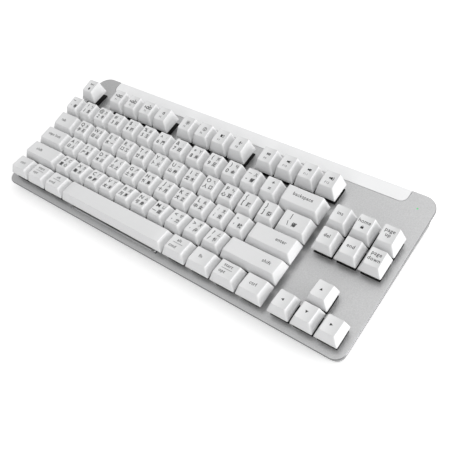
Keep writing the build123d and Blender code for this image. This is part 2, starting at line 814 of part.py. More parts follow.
def make_insert():
    """Sliding insert of a stabiliser with its cross, at rest."""
    bottom = -stab_below + stab_floor + insert_base_gap + travel
    insert = centred(insert_width, insert_depth, (bottom, stab_height))
    insert += cross(cross_size, cross_bar, (stab_height, housing_height + cross_height))
    middle = wire_height + travel / 2
    tip = -wire_offset + wire_arm + insert_slot_end
    front = -insert_depth / 2 - 0.5
    near = wire_radius + insert_slot_room
    run = front + wire_offset
    wide = travel / 2 - run * math.tan(rest_angle) + wire_radius / math.cos(rest_angle) + insert_slot_room
    points = [(tip, middle - near), (tip, middle + near), (front, middle + wide), (front, middle - wide)]
    outline = Plane.YZ.offset(-insert_slot_width / 2) * make_face(Polyline(*points, close=True))
    return insert - extrude(outline, insert_slot_width)


def make_wire(key):
    """Bar along the key with an arm to each insert, at rest."""
    reach = key.reach
    wire = rod_along_x(wire_radius, (-reach, reach), -wire_offset, wire_height)
    for side in (-1, 1):
        corner = Pos(side * reach, -wire_offset, wire_height)
        arm = Rot(math.degrees(rest_angle), 0, 0) * Rot(-90, 0, 0) * rod(wire_radius, (0, wire_arm))
        wire += corner * arm
        wire += corner * Sphere(wire_radius)
    return wire


# ---- keycaps ------------------------------------------------------------------------------------
def top_plane(front, rear, drop=0):
    """Plane of a cap's top, its origin over the middle of the top."""
    y = (-cap_width / 2 + cap_front_lean, cap_width / 2 - cap_rear_lean)
    slope_angle = math.degrees(math.atan2(rear - front, y[1] - y[0]))
    return Pos(0, (y[0] + y[1]) / 2, (front + rear) / 2 - drop) * Rot(slope_angle, 0, 0)


def cap_block(length, front, rear, wall=0, drop=0):
    """Tapered body of a cap, drawn in by a wall and lowered by a roof."""
    base = (length - 2 * wall, cap_width - 2 * wall)
    share = drop / ((front + rear) / 2)
    top = (
        length - 2 * wall - 2 * cap_side_lean * (1 - share),
        cap_width - 2 * wall - (cap_front_lean + cap_rear_lean) * (1 - share),
    )
    low = RectangleRounded(*base, cap_corner_radius)
    high = top_plane(front, rear, drop) * RectangleRounded(*top, cap_top_radius)
    return loft([low, high], ruled=True)


def make_cap(key):
    """Keycap with its sockets, resting on the stem."""
    front, rear = row_profile[key.row]
    length = key.units * pitch - key_gap
    cap = cap_block(length, front, rear)
    top_width = length - 2 * cap_side_lean
    if key.units <= nav_units:
        radius = (top_width**2 / 4 + dish_depth**2) / (2 * dish_depth)
        cylinder = Rot(90, 0, 0) * Cylinder(radius, cap_width * 2)
        cap -= top_plane(front, rear) * Pos(0, 0, radius - dish_depth) * cylinder
    reaches = [0] + ([-key.reach, key.reach] if key.reach else [])
    cross_top = housing_height + cross_height - skirt_height
    room = cap_block(length, front, rear, cap_wall, cap_roof + dish_depth)
    for x in reaches:
        room -= Pos(x, 0, 0) * rod(socket_radius, (socket_lift, far))
    shell = cap - room
    bar = grown(cross_bar, cross_fit)
    size = grown(cross_size, cross_fit)
    for x in reaches:
        shell -= Pos(x, 0, 0) * cross(size, bar, (0, cross_top))
    return Pos(0, 0, skirt_height) * shell


# ---- nodes --------------------------------------------------------------------------------------
def placed(shape, key):
    """A shape drawn round a key's centre, put in its place in the row frame."""
    return deck_frame * key.place * shape


def key_solids(keys):
    """Keycap, stem and inserts of each key."""
    solids = []
    stem = make_stem()
    insert = make_insert()
    caps = {}
    for key in keys:
        kind = (key.row, key.units)
        if kind not in caps:
            caps[kind] = make_cap(key)
        solids += [placed(caps[kind], key), placed(stem, key)]
        if key.reach:
            solids += [placed(Pos(side * key.reach, 0, 0) * insert, key) for side in (-1, 1)]
    return solids


def for_every_key(shapes):
    return [placed(shape, key) for key in KEYS for shape in shapes]


def main():
    os.makedirs("parts", exist_ok=True)
    write("top_plate", deck_frame * make_deck())
    write("rear_strip", deck_frame * make_strip())
    write("bottom_case", make_case())
    write("circuit_board", deck_frame * make_board())
    write("circuit_components", *[deck_frame * part for part in make_components()])
    write("switch_lower_housings", *for_every_key([make_lower_housing()]))
    write("switch_upper_housings", *for_every_key([make_upper_housing()]))
    write("switch_springs", *for_every_key([make_spring()]))
    write("switch_contacts", *for_every_key(make_contacts()))
    stabilised = [key for key in KEYS if key.reach]
    housings = []
    for key in stabilised:
        for side in (-1, 1):
            housings.append(placed(Pos(side * key.reach, 0, 0) * make_stabiliser_housing(side), key))
        write(f"stabiliser_wire_{key.name}", placed(make_wire(key), key))
    write("stabiliser_housings", *housings)
    write("battery_cells", *make_cells())
    write("battery_contacts", make_contact(-1), make_contact(1))
    write("battery_door", make_door())
    write("rubber_feet", *[make_pad(x, y) for x, y in PAD_PLACES])
    write("case_screws", *[make_screw(*place) for place in screw_centres()])
    write("status_light_pipe", deck_frame * make_light_pipe())
    write("power_switch_body", deck_frame * make_power_body())
    write("power_slider", deck_frame * make_power_slider())
    for side, name in ((-1, "left"), (1, "right")):
        write(f"tilt_foot_{name}", mirrored(make_foot(), side))
        write(f"tilt_foot_pad_{name}", mirrored(make_foot_pad(), side))
    shared = {name: node for node, names in SHARED_NODES.items() for name in names.split()}
    nodes = {}
    for key in KEYS:
        nodes.setdefault(shared.get(key.name, f"key_{key.name}"), []).append(key)
    for node, keys in nodes.items():
        write(node, *key_solids(keys))


if __name__ == "__main__":
    main()
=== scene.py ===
"""Looks of the tenkeyless keyboard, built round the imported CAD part.

Lengths are millimetres until they reach a mesh. Lights and the floor are in metres.
"""

import json
import math

import bpy
from mathutils import Matrix, Vector


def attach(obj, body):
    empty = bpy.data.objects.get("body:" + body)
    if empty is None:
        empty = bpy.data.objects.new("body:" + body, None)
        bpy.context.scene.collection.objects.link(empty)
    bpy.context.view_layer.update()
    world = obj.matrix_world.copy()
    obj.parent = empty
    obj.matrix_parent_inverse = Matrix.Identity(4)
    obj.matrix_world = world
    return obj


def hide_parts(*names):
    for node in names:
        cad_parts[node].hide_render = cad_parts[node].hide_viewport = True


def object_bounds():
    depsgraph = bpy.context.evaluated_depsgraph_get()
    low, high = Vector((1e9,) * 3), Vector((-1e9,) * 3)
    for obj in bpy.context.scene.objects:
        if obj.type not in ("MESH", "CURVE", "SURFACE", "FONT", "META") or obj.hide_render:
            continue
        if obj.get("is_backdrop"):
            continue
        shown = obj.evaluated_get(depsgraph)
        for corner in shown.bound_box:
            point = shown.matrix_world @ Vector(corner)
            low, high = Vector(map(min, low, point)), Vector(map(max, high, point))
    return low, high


MM = 0.001

# ---- sizes shared with the CAD part ------------------------------------------------------------
PITCH = 19.05
NAV_GAP = 3.8
F_ROW_GAP = 4.5
SIDE_MARGIN = 5.0
FRONT_MARGIN = 5.5
DECK_SIZE = (356.7, 143.1)
DECK_TILT = 4.0
DECK_HEIGHT = 11.794416
DECK_MIDDLE = 71.428025
KEY_GAP = 0.95
SKIRT_HEIGHT = 6.3
SIDE_LEAN = 3.25
FRONT_LEAN = 3.8
REAR_LEAN = 1.0
CAP_WALL = 1.1
CAP_ROOF = 2.05
DISH = 0.45
ROW_TOPS = ((8.6, 7.2), (8.5, 7.0), (7.4, 7.6), (7.2, 8.6), (10.0, 11.2), (10.4, 11.9))
STEM_BLOCK = (7.0, 5.5, 1.0, 6.6)  # width, depth, bottom, top
STEM_SHOULDER = (8.4, 3.6, 5.5)
STEM_CROSS = (4.0, 1.2, 6.6, 10.2)
INSERT_BLOCK = (5.4, 8.4, 0.1, 5.5)
STABILISER_REACH = {"space": 50.0}
SHORT_REACH = 11.938

# ---- keycap edges, sharper here than in the CAD part ---------------------------------------------
CAP_RADIUS = 0.8  # upright corners at the skirt, 1.0 in the CAD part
TOP_RADIUS = 1.0  # upright corners at the top, 1.6 in the CAD part
EDGE_RADIUS = 0.35  # rounding between the sides and the top
EDGE_STEPS = 6
EDGE_INSET = 0.62  # share of the rounding that the outline moves inwards
SKIRT_EDGE = 0.12
SPACE_CROWN = 0.25  # the space bar's top falls by this much at its front and rear

# ---- camera, in the row frame ------------------------------------------------------------------
CAMERA_PLACE = (288.815, -207.259, 389.435)
CAMERA_AIM = (-0.505378, 0.388873, -0.770306)
CAMERA_ROLL = -19.3705
CAMERA_LENS = 49.633
SENSOR = 36.0

# ---- keys --------------------------------------------------------------------------------------
LAYOUT = (
    "left_ctrl:1.25 left_start:1.25 left_alt:1.25 space:6.25 "
    "right_alt:1.25 fn:1.25 right_start:1.25 right_ctrl:1.25",
    "left_shift:2.25 z:1 x:1 c:1 v:1 b:1 n:1 m:1 comma:1 period:1 slash:1 right_shift:2.75",
    "caps_lock:1.75 a:1 s:1 d:1 f:1 g:1 h:1 j:1 k:1 l:1 semicolon:1 quote:1 enter:2.25",
    "tab:1.5 q:1 w:1 e:1 r:1 t:1 y:1 u:1 i:1 o:1 p:1 left_bracket:1 right_bracket:1 backslash:1.5",
    "grave:1 1:1 2:1 3:1 4:1 5:1 6:1 7:1 8:1 9:1 0:1 minus:1 equal:1 backspace:2",
    "esc:1 gap:1 f1:1 f2:1 f3:1 f4:1 gap:0.5 f5:1 f6:1 f7:1 f8:1 gap:0.5 f9:1 f10:1 f11:1 f12:1",
)
NAV_LAYOUT = (
    "arrow_left:1 arrow_down:1 arrow_right:1",
    "gap:1 arrow_up:1",
    "",
    "delete:1 end:1 page_down:1",
    "insert:1 home:1 page_up:1",
    "",
)
SHARED_NODES = {
    "keys_lower_row": "z x c v b n m comma period slash",
    "keys_home_row": "a s d f g h j k l semicolon quote",
    "keys_upper_row": "q w e r t y u i o p left_bracket right_bracket",
    "keys_number_row": "grave 1 2 3 4 5 6 7 8 9 0 minus equal",
    "keys_f1_to_f4": "f1 f2 f3 f4",
    "keys_f5_to_f8": "f5 f6 f7 f8",
    "keys_f9_to_f12": "f9 f10 f11 f12",
}

# Legends of the character keys: upper left, upper right, lower left and lower right.
GLYPHS = {
    "grave": ("~", "", "`", "巷"),
    "1": ("!", "ㄅ", "1", "言"),
    "2": ("@", "ㄉ", "2", "牛"),
    "3": ("#", "ˇ", "3", "目"),
    "4": ("$", "ˋ", "4", "四"),
    "5": ("%", "ㄓ", "5", "王"),
    "6": ("^", "ˊ", "6", "門"),
    "7": ("&", "˙", "7", "田"),
    "8": ("*", "ㄚ", "8", "米"),
    "9": ("(", "ㄞ", "9", "足"),
    "0": (")", "ㄢ", "0", "金"),
    "minus": ("_", "ㄦ", "-", "鄉"),
    "equal": ("+", "", "=", ""),
    "q": ("Q", "ㄆ", "手", "石"),
    "w": ("W", "ㄊ", "田", "山"),
    "e": ("E", "ㄍ", "水", "一"),
    "r": ("R", "ㄐ", "口", "工"),
    "t": ("T", "ㄔ", "廿", "糸"),
    "y": ("Y", "ㄗ", "卜", "火"),
    "u": ("U", "ㄧ", "山", "艸"),
    "i": ("I", "ㄛ", "戈", "木"),
    "o": ("O", "ㄟ", "人", "口"),
    "p": ("P", "ㄣ", "心", "耳"),
    "left_bracket": ("{", "", "[", "路"),
    "right_bracket": ("}", "", "]", "街"),
    "backslash": ("|", "", "\\", "鄉"),
    "a": ("A", "ㄇ", "日", "人"),
    "s": ("S", "ㄋ", "尸", "革"),
    "d": ("D", "ㄎ", "木", "日"),
    "f": ("F", "ㄑ", "火", "土"),
    "g": ("G", "ㄕ", "土", "手"),
    "h": ("H", "ㄘ", "竹", "鳥"),
    "j": ("J", "ㄨ", "十", "月"),
    "k": ("K", "ㄜ", "大", "立"),
    "l": ("L", "ㄠ", "中", "女"),
    "semicolon": (":", "ㄤ", ";", "虫"),
    "quote": ('"', "", "'", "號"),
    "z": ("Z", "ㄈ", "重", "心"),
    "x": ("X", "ㄌ", "難", "水"),
    "c": ("C", "ㄏ", "金", "鹿"),
    "v": ("V", "ㄒ", "女", "禾"),
    "b": ("B", "ㄖ", "月", "馬"),
    "n": ("N", "ㄙ", "弓", "魚"),
    "m": ("M", "ㄩ", "一", "雨"),
    "comma": ("<", "ㄝ", ",", "力"),
    "period": (">", "ㄡ", ".", "舟"),
    "slash": ("?", "ㄥ", "/", "竹"),
}
GLYPH_PLACES = ((-2.5, 4.0), (3.2, 4.1), (-2.8, -1.5), (2.6, -1.3))
GLYPH_SHIFTS = {"backslash": -1.6, "equal": 3.2}  # along the row
LATIN_SIZE = 5.0
SOUND_SIZE = 3.6
HAN_SIZE = 4.0
WORD_SIZE = 4.0
SMALL_SIZE = 2.5
WORDS = {  # one or two lines of lettering with their centres on the key
    "esc": (("esc", 0.4, 3.4, 3.4),),
    "tab": (("tab", -2.9, 1.0, WORD_SIZE),),
    "caps_lock": (("caps lock", 0.0, 1.5, WORD_SIZE),),
    "left_shift": (("shift", -6.0, 1.3, WORD_SIZE),),
    "right_shift": (("shift", 12.6, 1.6, WORD_SIZE),),
    "enter": (("enter", 7.5, 1.7, WORD_SIZE),),
    "backspace": (("backspace", 0.2, 2.0, WORD_SIZE),),
    "left_ctrl": (("ctrl", -0.3, 1.6, WORD_SIZE),),
    "right_ctrl": (("ctrl", -0.3, 1.6, WORD_SIZE),),
    "fn": (("fn", -1.0, 1.6, WORD_SIZE),),
    "insert": (("ins", -0.2, 1.9, WORD_SIZE),),
    "delete": (("del", -0.2, 2.0, WORD_SIZE),),
    "end": (("end", 0.0, 1.8, WORD_SIZE),),
    "home": (("home", -0.2, 3.2, 4.0),),
    "page_up": (("page", -0.2, 3.4, 4.0), ("up", -0.2, -0.2, 4.0)),
    "page_down": (("page", -0.2, 3.4, 4.0), ("down", -0.2, -0.2, 4.0)),
}
for side_name in ("left", "right"):
    WORDS[f"{side_name}_start"] = (("start", -0.6, 4.7, 3.8), ("opt", -2.6, -1.5, 3.8))
    WORDS[f"{side_name}_alt"] = (("alt", -0.6, 4.7, 3.8), ("cmd", -2.8, -1.7, 3.8))
BARS = ("left_start", "left_alt", "right_alt", "right_start")
TRIANGLES = {"arrow_up": 90, "arrow_left": 180, "arrow_down": 270, "arrow_right": 0}
LEGEND_LIFT = 0.035
# Stroke widening as a share of the letter size.
LATIN_BOLD = 0.012
SOUND_BOLD = 0.015
HAN_BOLD = 0.022
WORD_BOLD = 0.008

DECK = (
    Matrix.Translation((-DECK_SIZE[0] / 2, -DECK_MIDDLE, DECK_HEIGHT))
    @ Matrix.Rotation(math.radians(DECK_TILT), 4, "X")
)


class Key:
    """One key with its place on the deck."""

    def __init__(self, name, row, units, left):
        self.name = name
        self.row = row
        self.units = units
        self.length = units * PITCH - KEY_GAP
        self.x = left + units * PITCH / 2
        self.y = FRONT_MARGIN + (row + 0.5) * PITCH + (F_ROW_GAP if row == 5 else 0)
        self.matrix = DECK @ Matrix.Translation((self.x, self.y, 0))
        self.wide = units >= 2

    @property
    def reach(self):
        return STABILISER_REACH.get(self.name, SHORT_REACH)


def read_keys():
    keys = []
    for layout, start in ((LAYOUT, SIDE_MARGIN), (NAV_LAYOUT, SIDE_MARGIN + 15 * PITCH + NAV_GAP)):
        for row, line in enumerate(layout):
            left = start
            for entry in line.split():
                name, units = entry.split(":")
                if name != "gap":
                    keys.append(Key(name, row, float(units), left))
                left += float(units) * PITCH
    return keys


# ---- meshes ------------------------------------------------------------------------------------
def add_object(name, points, faces, matrix, material, smooth=True):
    """Mesh object from points in millimetres, which the matrix puts in the row frame."""
    mesh = bpy.data.meshes.new(name)
    mesh.from_pydata([(matrix @ Vector(point)) * MM for point in points], [], faces)
    mesh.validate()
    mesh.update()
    for face in mesh.polygons:
        face.use_smooth = smooth
    item = bpy.data.objects.new(name, mesh)
    bpy.context.scene.collection.objects.link(item)
    item.data.materials.append(material)
    return item


def outline(x, y, radius, steps, arc=5):
    """Rounded rectangle between two X and two Y values, from the front left corner's end, anticlockwise."""
    corners = (
        (x[1] - radius, y[0] + radius, -90),
        (x[1] - radius, y[1] - radius, 0),
        (x[0] + radius, y[1] - radius, 90),
        (x[0] + radius, y[0] + radius, 180),
    )
    points = []
    for index, (cx, cy, start) in enumerate(corners):
        for step in range(arc + 1):
            angle = math.radians(start + 90 * step / arc)
            points.append((cx + radius * math.cos(angle), cy + radius * math.sin(angle)))
        nx, ny, turn = corners[(index + 1) % 4]
        end = math.radians(turn)
        target = (nx + radius * math.cos(end), ny + radius * math.sin(end))
        last = points[-1]
        count = steps[index % 2]
        for step in range(1, count):
            share = step / count
            across, along = target[0] - last[0], target[1] - last[1]
            points.append((last[0] + across * share, last[1] + along * share))
    return points


class CapShape:
    """Shape of one keycap: its outline at each level and the height of its top."""

    def __init__(self, key):
        self.half = key.length / 2
        self.base = (PITCH - KEY_GAP) / 2
        self.front, self.rear = ROW_TOPS[key.row]
        self.y = (-self.base + FRONT_LEAN, self.base - REAR_LEAN)
        self.top_half = self.half - SIDE_LEAN
        self.dished = key.name != "space"
        self.height = (self.front + self.rear) / 2
        self.steps = (8, max(6, round(key.length / 3)))

    def top(self, x, y):
        """Height of the top above the deck."""
        share = (y - self.y[0]) / (self.y[1] - self.y[0])
        height = self.front + (self.rear - self.front) * share
        if self.dished:
            height -= DISH * max(0.0, 1 - (x / self.top_half) ** 2)
        else:
            middle = (self.y[0] + self.y[1]) / 2
            height -= SPACE_CROWN * ((y - middle) / (self.y[1] - middle)) ** 2
        return height

    def ring(self, level, inset):
        """Outline at a share of the height, moved inwards."""
        x = self.half - SIDE_LEAN * level - inset
        y = (-self.base + FRONT_LEAN * level + inset, self.base - REAR_LEAN * level - inset)
        radius = max(0.3, CAP_RADIUS + (TOP_RADIUS - CAP_RADIUS) * level - inset * 0.5)
        return outline((-x, x), y, radius, self.steps)

    def lift(self, points, level, drop=0.0):
        return [(x, y, SKIRT_HEIGHT + max(0.0, self.top(x, y) * level - drop)) for x, y in points]



def cap_mesh(shape):
    """Points and faces of a keycap with rounded edges, a dished top and a hollow underside."""
    rings = [shape.lift(shape.ring(0, SKIRT_EDGE), 0)]
    rings.append(shape.lift(shape.ring(0.015, 0), 0.015))
    start = 1 - EDGE_RADIUS / shape.height
    for level in (0.25, 0.5, 0.75):
        rings.append(shape.lift(shape.ring(start * level, 0), start * level))
    for step in range(EDGE_STEPS + 1):
        angle = math.radians(90 * step / EDGE_STEPS)
        level = start + (1 - start) * math.sin(angle)
        inset = EDGE_RADIUS * (1 - math.cos(angle)) * EDGE_INSET
        rings.append(shape.lift(shape.ring(min(level, 1.0), inset), level))
    edge = shape.ring(1.0, EDGE_RADIUS * EDGE_INSET)
    middle = (shape.y[0] + shape.y[1]) / 2
    for share in (0.86, 0.7, 0.54, 0.38, 0.22, 0.08):
        points = [(x * share, middle + (y - middle) * share) for x, y in edge]
        rings.append(shape.lift(points, 1.0))
    inner_top = 1 - CAP_ROOF / shape.height
    below = [shape.lift(shape.ring(0, CAP_WALL), 0)]
    below.append(shape.lift(shape.ring(inner_top, CAP_WALL), inner_top))
    count = len(rings[0])
    points = [point for ring in rings for point in ring]
    faces = []
    for ring in range(len(rings) - 1):
        for index in range(count):
            after = (index + 1) % count
            low = ring * count
            high = low + count
            faces.append((low + index, low + after, high + after, high + index))
    centre = len(points)
    points.append((0, middle, SKIRT_HEIGHT + shape.top(0, middle)))
    last = (len(rings) - 1) * count
    for index in range(count):
        faces.append((last + index, last + (index + 1) % count, centre))
    inner = len(points)
    points += below[0] + below[1]
    for index in range(count):
        after = (index + 1) % count
        faces.append((after, index, inner + index, inner + after))
        faces.append((inner + after, inner + index, inner + count + index, inner + count + after))
    roof = len(points)
    points.append((0, 0, SKIRT_HEIGHT + shape.top(0, 0) * inner_top))
    for index in range(count):
        faces.append((inner + count + (index + 1) % count, inner + count + index, roof))
    return points, faces


def box_mesh(x, y, z):
    """Points and faces of a box between two values on each axis."""
    points = [(px, py, pz) for pz in z for py in y for px in x]
    faces = [(0, 2, 3, 1), (4, 5, 7, 6), (0, 1, 5, 4), (2, 6, 7, 3), (0, 4, 6, 2), (1, 3, 7, 5)]
    return points, faces


def join(meshes):
    """One list of points and one of faces from several."""
    points = []
    faces = []
    for more, more_faces in meshes:
        base = len(points)
        points += more
        faces += [tuple(base + index for index in face) for face in more_faces]
    return points, faces


def stem_boxes(x):
    """Boxes of a switch stem whose middle is at x."""
    wide, deep, low, high = STEM_BLOCK
    shoulder, bottom, top = STEM_SHOULDER
    size, bar, cross_low, cross_high = STEM_CROSS
    return [
        box_mesh((x - wide / 2, x + wide / 2), (-deep / 2, deep / 2), (low, high)),
        box_mesh((x - shoulder / 2, x + shoulder / 2), (-shoulder / 2, shoulder / 2), (bottom, top)),
        box_mesh((x - size / 2, x + size / 2), (-bar / 2, bar / 2), (cross_low, cross_high)),
        box_mesh((x - bar / 2, x + bar / 2), (-size / 2, size / 2), (cross_low, cross_high)),
    ]


def insert_boxes(x):
    wide, deep, low, high = INSERT_BLOCK
    size, bar, _, cross_high = STEM_CROSS
    return [
        box_mesh((x - wide / 2, x + wide / 2), (-deep / 2, deep / 2), (low, high)),
        box_mesh((x - size / 2, x + size / 2), (-bar / 2, bar / 2), (high, cross_high)),
    ]


# ---- lettering -----------------------------------------------------------------------------------
TEXTS = {}
LATIN_END = 128
FIRST_HAN = 0x4E00


def flat_text(text, size, bold):
    """Flat outline of some text, centred on its own box, as points and faces."""
    if (text, size, bold) in TEXTS:
        return TEXTS[text, size, bold]
    curve = bpy.data.curves.new("lettering", "FONT")
    curve.body = text
    curve.size = size
    curve.resolution_u = 3
    curve.space_character = 1.08
    curve.offset = size * bold
    item = bpy.data.objects.new("lettering", curve)
    bpy.context.scene.collection.objects.link(item)
    graph = bpy.context.evaluated_depsgraph_get()
    mesh = bpy.data.meshes.new_from_object(item.evaluated_get(graph))
    points = [(vertex.co.x, vertex.co.y) for vertex in mesh.vertices]
    faces = [tuple(polygon.vertices) for polygon in mesh.polygons]
    bpy.data.objects.remove(item)
    bpy.data.curves.remove(curve)
    bpy.data.meshes.remove(mesh)
    middle_x = (min(p[0] for p in points) + max(p[0] for p in points)) / 2
    low = min(p[1] for p in points)
    high = max(p[1] for p in points)
    middle_y = (low + high) / 2
    points = [(x - middle_x, y - middle_y) for x, y in points]
    TEXTS[text, size, bold] = (points, faces)
    return TEXTS[text, size, bold]


def moved(flat, x, y):
    points, faces = flat
    return [(px + x, py + y) for px, py in points], faces


def polygon(points):
    return list(points), [tuple(range(len(points)))]


def legend_shapes(key):
    """Flat shapes of a key's legends, round the key's centre."""
    shapes = []
    if key.name in GLYPHS:
        shift = GLYPH_SHIFTS.get(key.name, 0.0)
        for text, (x, y) in zip(GLYPHS[key.name], GLYPH_PLACES):
            if text:
                if ord(text) < LATIN_END:
                    flat = flat_text(text, LATIN_SIZE, LATIN_BOLD)
                elif ord(text) < FIRST_HAN:
                    flat = flat_text(text, SOUND_SIZE, SOUND_BOLD)
                else:
                    flat = flat_text(text, HAN_SIZE, HAN_BOLD)
                shapes.append(moved(flat, x + shift, y))
    for text, x, y, size in WORDS.get(key.name, ()):
        shapes.append(moved(flat_text(text, size, WORD_BOLD), x, y))
    if key.name in BARS:
        shapes.append(polygon([(-5.0, 1.65), (4.4, 1.65), (4.4, 1.9), (-5.0, 1.9)]))
    if key.name in TRIANGLES:
        turn = math.radians(TRIANGLES[key.name])
        corners = [(1.15, 0.0), (-0.9, 1.1), (-0.9, -1.1)]
        spun = [
            (x * math.cos(turn) - y * math.sin(turn) - 0.4, x * math.sin(turn) + y * math.cos(turn) + 1.5)
            for x, y in corners
        ]
        shapes.append(polygon(spun))
    if key.name == "home":
        shapes.append(polygon([(-1.1, -2.6), (1.1, -2.6), (1.1, -1.0), (-1.1, -1.0)]))
        shapes += arch(0.0, -1.0, 0.75, 0.3)
    if key.name[0] == "f" and key.name[1:].isdigit():
        shapes.append(moved(flat_text(key.name.upper(), SMALL_SIZE, 0.0), -0.6, -1.9))
        shapes += [moved(flat, 0.6, 2.4) for flat in function_icon(int(key.name[1:]))]
    if key.name == "esc":
        shapes += disc(0.3, -1.9, 1.1) + [bar(0.3, -0.6, 0.9, 0.9)]
    return shapes


def arch(x, y, radius, width, start=0, end=180, steps=10):
    """Flat ring sector, drawn as quads."""
    quads = []
    for step in range(steps):
        a = math.radians(start + (end - start) * step / steps)
        b = math.radians(start + (end - start) * (step + 1) / steps)
        inner = radius - width
        quads.append(
            polygon(
                [
                    (x + inner * math.cos(a), y + inner * math.sin(a)),
                    (x + radius * math.cos(a), y + radius * math.sin(a)),
                    (x + radius * math.cos(b), y + radius * math.sin(b)),
                    (x + inner * math.cos(b), y + inner * math.sin(b)),
                ]
            )
        )
    return quads


def bar(x, y, wide, tall):
    left, right = x - wide / 2, x + wide / 2
    low, high = y - tall / 2, y + tall / 2
    return polygon([(left, low), (right, low), (right, high), (left, high)])


def arrow_head(x, y, size, sign=1):
    back = x - sign * size / 2
    return polygon([(back, y - size / 2), (x + sign * size / 2, y), (back, y + size / 2)])


def disc(x, y, radius, steps=16):
    return arch(x, y, radius, radius, 0, 360, steps)


def rays(count, radius, size, start=0.0):
    """Square dots on a circle round the origin."""
    dots = []
    for step in range(count):
        angle = math.radians(start + 360 * step / count)
        dots.append(bar(radius * math.cos(angle), radius * math.sin(angle), size, size))
    return dots


def function_icon(number):
    """Generic pictogram of a function key, round the origin."""
    if number <= 3:
        low = 0.0 if number == 1 else -0.5
        level = [bar(-3.8, low + 0.1, 0.7, 1.9), bar(-2.8, low - 0.2, 0.6, 1.3)]
        lamp = arch(-0.7, low, 1.45, 0.7, 0, 360, 16)
        sun = [moved(dot, 2.4, low) for dot in rays(7, 1.25, 0.85)]
        return level + lamp + sun + ([] if number == 1 else [bar(0.9, 1.9, 0.95, 0.95)])
    if number == 4:
        return arch(0, 0, 1.35, 0.65, 30, 330, 14) + [bar(0.7, 0, 1.0, 0.6)]
    if number == 5:
        return arch(0, 0, 1.0, 0.6, 0, 360, 12) + rays(8, 1.75, 0.7)
    if number == 6:
        return arch(0, 0, 1.9, 0.42, 0, 360, 24) + [bar(0, 0.35, 0.75, 1.5), bar(0, -0.95, 1.3, 0.35)]
    if number == 7:
        frame_bars = [bar(1.1, 1.0, 1.5, 0.4), bar(1.1, -1.0, 1.5, 0.4), bar(1.65, 0, 0.4, 1.7)]
        return [bar(-0.7, 0, 1.9, 2.4)] + frame_bars
    if number == 8:
        body = [bar(-0.3, 0.3, 1.0, 2.2), bar(-0.3, -1.3, 1.8, 0.4), bar(1.3, 0.2, 0.5, 1.2)]
        return body + [arrow_head(-1.5, 0.2, 0.9, -1)]
    if number == 9:
        return [bar(-1.3, 0, 0.9, 1.9), bar(-0.1, 0, 0.9, 1.9), bar(1.1, 0, 0.9, 1.9)]
    speaker = [bar(-1.1, 0, 1.1, 1.3), arrow_head(-0.3, 0, 2.6, -1)]
    if number == 10:
        return speaker + [bar(1.7, 0.55, 0.5, 0.5), bar(1.7, -0.55, 0.5, 0.5)]
    if number == 11:
        return speaker + arch(0.2, 0, 1.5, 0.42, -40, 40, 5)
    return speaker + arch(0.2, 0, 1.4, 0.4, -45, 45, 5) + arch(0.2, 0, 2.3, 0.4, -45, 45, 7)


def legend_mesh(key, shape):
    """Legends laid just over the keycap's top."""
    meshes = []
    for points, faces in legend_shapes(key):
        lifted = [(x, y, SKIRT_HEIGHT + shape.top(x, y) + LEGEND_LIFT) for x, y in points]
        meshes.append((lifted, faces))
    return join(meshes) if meshes else None


# ---- materials -----------------------------------------------------------------------------------
def material(name, color, roughness, metallic=0.0, bump=(), mottle=None, specular=0.5, coat=0.0):
    """Principled material with procedural bump and colour variation.

    bump holds (scale per metre, strength, distance in metres); mottle is (scale, darker colour).
    """
    item = bpy.data.materials.new(name)
    item.use_nodes = True
    nodes = item.node_tree.nodes
    links = item.node_tree.links
    shader = nodes["Principled BSDF"]
    shader.inputs["Base Color"].default_value = (*color, 1)
    shader.inputs["Roughness"].default_value = roughness
    shader.inputs["Metallic"].default_value = metallic
    shader.inputs["Specular IOR Level"].default_value = specular
    shader.inputs["Coat Weight"].default_value = coat
    place = nodes.new("ShaderNodeTexCoord")
    normal = None
    for scale, strength, distance in bump:
        noise = nodes.new("ShaderNodeTexNoise")
        noise.inputs["Scale"].default_value = scale
        noise.inputs["Detail"].default_value = 3.0
        links.new(place.outputs["Object"], noise.inputs["Vector"])
        node = nodes.new("ShaderNodeBump")
        node.inputs["Strength"].default_value = strength
        node.inputs["Distance"].default_value = distance
        links.new(noise.outputs["Fac"], node.inputs["Height"])
        if normal:
            links.new(normal, node.inputs["Normal"])
        normal = node.outputs["Normal"]
    if normal:
        links.new(normal, shader.inputs["Normal"])
    if mottle:
        scale, darker = mottle
        noise = nodes.new("ShaderNodeTexNoise")
        noise.inputs["Scale"].default_value = scale
        noise.inputs["Detail"].default_value = 4.0
        links.new(place.outputs["Object"], noise.inputs["Vector"])
        ramp = nodes.new("ShaderNodeValToRGB")
        ramp.color_ramp.elements[0].position = 0.3
        ramp.color_ramp.elements[1].position = 0.7
        ramp.color_ramp.elements[0].color = (*darker, 1)
        ramp.color_ramp.elements[1].color = (*color, 1)
        links.new(noise.outputs["Fac"], ramp.inputs["Fac"])
        links.new(ramp.outputs["Color"], shader.inputs["Base Color"])
    return item


def grey(value):
    return (value, value * 1.003, value * 1.008)


